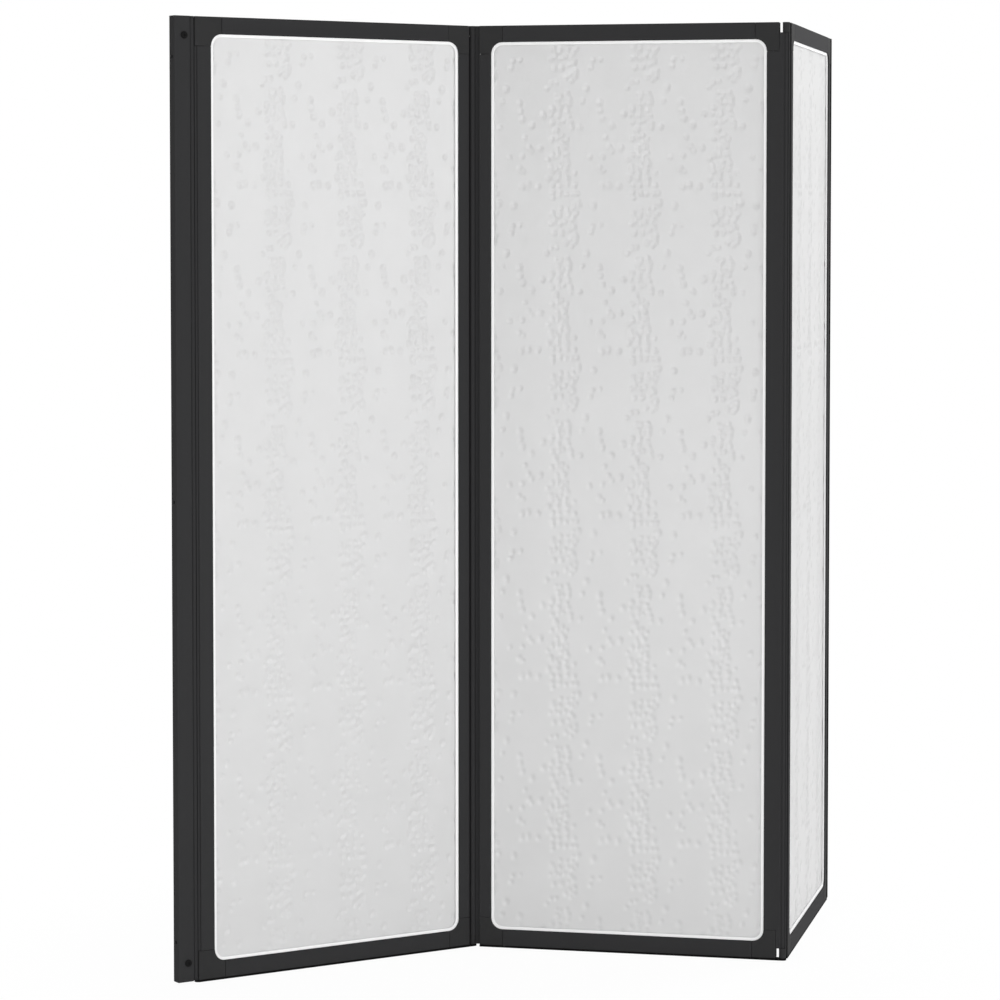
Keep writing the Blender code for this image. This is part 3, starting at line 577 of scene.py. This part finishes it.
strip_black = grained_finish(
    "black_soft_strip", STRIP_BLACK, STRIP_DULL_BLACK, STRIP_GLOSS,
    STRIP_GRAIN_SIZE, STRIP_GRAIN_DEPTH, STRIP_TONE_SIZE, sheen=FAINT_SHEEN)
for panel in PANEL_TURN:
    dress(f"{panel}_bottom_seal", strip_black)
dress("panel_3_edge_trim", strip_black)


# Side screws: two blackened pan heads with a cross recess, through the front flange of
# the wall channel into the pivot post.

SCREW_BLACK = (0.0015, 0.0015, 0.0016, 1)
SCREW_WORN_BLACK = (0.004, 0.004, 0.0042, 1)
SCREW_GLOSS = (0.5, 0.6)
SCREW_SHEEN = 0.1
SCREW_GRAIN_SIZE = 0.0004
SCREW_GRAIN_DEPTH = 0.00001
SCREW_TONE_SIZE = 0.004

blackened = grained_finish(
    "blackened_screw", SCREW_BLACK, SCREW_WORN_BLACK, SCREW_GLOSS,
    SCREW_GRAIN_SIZE, SCREW_GRAIN_DEPTH, SCREW_TONE_SIZE, sheen=SCREW_SHEEN)
for end in ("top", "bottom"):
    dress(f"wall_screw_{end}", blackened)


# Studio: a pale floor that keeps the shadow, a white surround for the camera and for
# reflections, five soft lamps, and the camera at the photograph's angle, turned towards
# the second panel and looking slightly down. The low lamp lights the floor in front.

FLOOR_LEVEL = cad_box[0].z
FLOOR_GREY = (0.92, 0.92, 0.92, 1)
FLOOR_ROUGHNESS = 0.9
FLOOR_REACH = 40
SHADOW_MIDDLE = (0.5, -0.1, FLOOR_LEVEL)
SHADOW_REACH = (0.4, 0.9)
SHADOW_WHITE_SHARES = (0.96, 1)
SURROUND_LIGHT = 0.6
SCREEN_MIDDLE = (0.5, -0.1, 0.6)
LAMPS = (
    ("right_lamp", (4.4, -6.4, 1.0), SCREEN_MIDDLE, 3.3, 133),
    ("front_lamp", (0.0, -7.0, 0.4), SCREEN_MIDDLE, 2.8, 78),
    ("left_lamp", (-2.4, -2.8, 0.5), SCREEN_MIDDLE, 1.8, 34),
    ("side_lamp", (3.4, 0.3, 2.4), SCREEN_MIDDLE, 1.4, 50),
    ("low_lamp", (-1.5, -2.6, 0.9), (-1.5, -2.6, 0), 1.6, 30))
CAMERA_PLACE = (-2.12493, -4.19032, 1.02818)
CAMERA_TURN = 32.299
CAMERA_DOWN = 2.944
CAMERA_FOCAL_SHARE = 3.45289
CAMERA_SHIFT = -0.1
SENSOR = 36


def seen_directly(tree):
    """Value that is 1 for rays that show the surround: camera, glossy and transmission."""
    path = tree.nodes.new("ShaderNodeLightPath")
    value = path.outputs["Is Camera Ray"]
    for other in ("Is Glossy Ray", "Is Transmission Ray"):
        most = tree.nodes.new("ShaderNodeMath")
        most.operation = "MAXIMUM"
        tree.links.new(value, most.inputs[0])
        tree.links.new(path.outputs[other], most.inputs[1])
        value = most.outputs["Value"]
    return value


floor_finish = bpy.data.materials.new("pale_floor")
floor_finish.use_nodes = True
floor_tree = floor_finish.node_tree
floor_shader = floor_tree.nodes["Principled BSDF"]
floor_shader.inputs["Base Color"].default_value = FLOOR_GREY
floor_shader.inputs["Roughness"].default_value = FLOOR_ROUGHNESS
white = floor_tree.nodes.new("ShaderNodeEmission")
floor_place = floor_tree.nodes.new("ShaderNodeTexCoord")
from_middle = floor_tree.nodes.new("ShaderNodeVectorMath")
from_middle.operation = "DISTANCE"
from_middle.inputs[1].default_value = SHADOW_MIDDLE
floor_tree.links.new(floor_place.outputs["Object"], from_middle.inputs[0])
white_share = floor_tree.nodes.new("ShaderNodeMapRange")
white_share.interpolation_type = "SMOOTHSTEP"
for name, value in zip(
        ("From Min", "From Max", "To Min", "To Max"), SHADOW_REACH + SHADOW_WHITE_SHARES):
    white_share.inputs[name].default_value = value
floor_tree.links.new(from_middle.outputs["Value"], white_share.inputs["Value"])
shown = floor_tree.nodes.new("ShaderNodeMath")
shown.operation = "MULTIPLY"
floor_tree.links.new(seen_directly(floor_tree), shown.inputs[0])
floor_tree.links.new(white_share.outputs["Result"], shown.inputs[1])
mixed = floor_tree.nodes.new("ShaderNodeMixShader")
floor_tree.links.new(shown.outputs["Value"], mixed.inputs["Fac"])
floor_tree.links.new(floor_shader.outputs["BSDF"], mixed.inputs[1])
floor_tree.links.new(white.outputs["Emission"], mixed.inputs[2])
floor_tree.links.new(mixed.outputs["Shader"], floor_tree.nodes["Material Output"].inputs["Surface"])

ground = bmesh.new()
bmesh.ops.create_circle(ground, cap_ends=True, segments=64, radius=FLOOR_REACH)
floor_mesh = bpy.data.meshes.new("floor")
ground.to_mesh(floor_mesh)
ground.free()
floor_mesh.transform(Matrix.Translation((0, 0, FLOOR_LEVEL)))
floor_mesh.materials.append(floor_finish)
floor = bpy.data.objects.new("floor", floor_mesh)
bpy.context.scene.collection.objects.link(floor)

world = bpy.data.worlds.new("studio")
bpy.context.scene.world = world
world.use_nodes = True
surround = world.node_tree.nodes["Background"]
surround.inputs["Color"].default_value = (1, 1, 1, 1)
level = world.node_tree.nodes.new("ShaderNodeMapRange")
level.inputs["To Min"].default_value = SURROUND_LIGHT
level.inputs["To Max"].default_value = 1
world.node_tree.links.new(seen_directly(world.node_tree), level.inputs["Value"])
world.node_tree.links.new(level.outputs["Result"], surround.inputs["Strength"])

for name, place, aim, size, power in LAMPS:
    lamp = bpy.data.lights.new(name, "AREA")
    lamp.size = size
    lamp.energy = power
    held = bpy.data.objects.new(name, lamp)
    held.location = place
    held.rotation_euler = (Vector(aim) - Vector(place)).to_track_quat("-Z", "Y").to_euler()
    bpy.context.scene.collection.objects.link(held)

lens = bpy.data.cameras.new("camera")
lens.sensor_width = SENSOR
lens.lens = SENSOR * CAMERA_FOCAL_SHARE
lens.shift_y = CAMERA_SHIFT
camera = bpy.data.objects.new("camera", lens)
camera.location = CAMERA_PLACE
camera.rotation_euler = (math.radians(90 - CAMERA_DOWN), 0, math.radians(-CAMERA_TURN))
bpy.context.scene.collection.objects.link(camera)
bpy.context.scene.camera = camera
bpy.context.scene.view_settings.view_transform = "Standard"
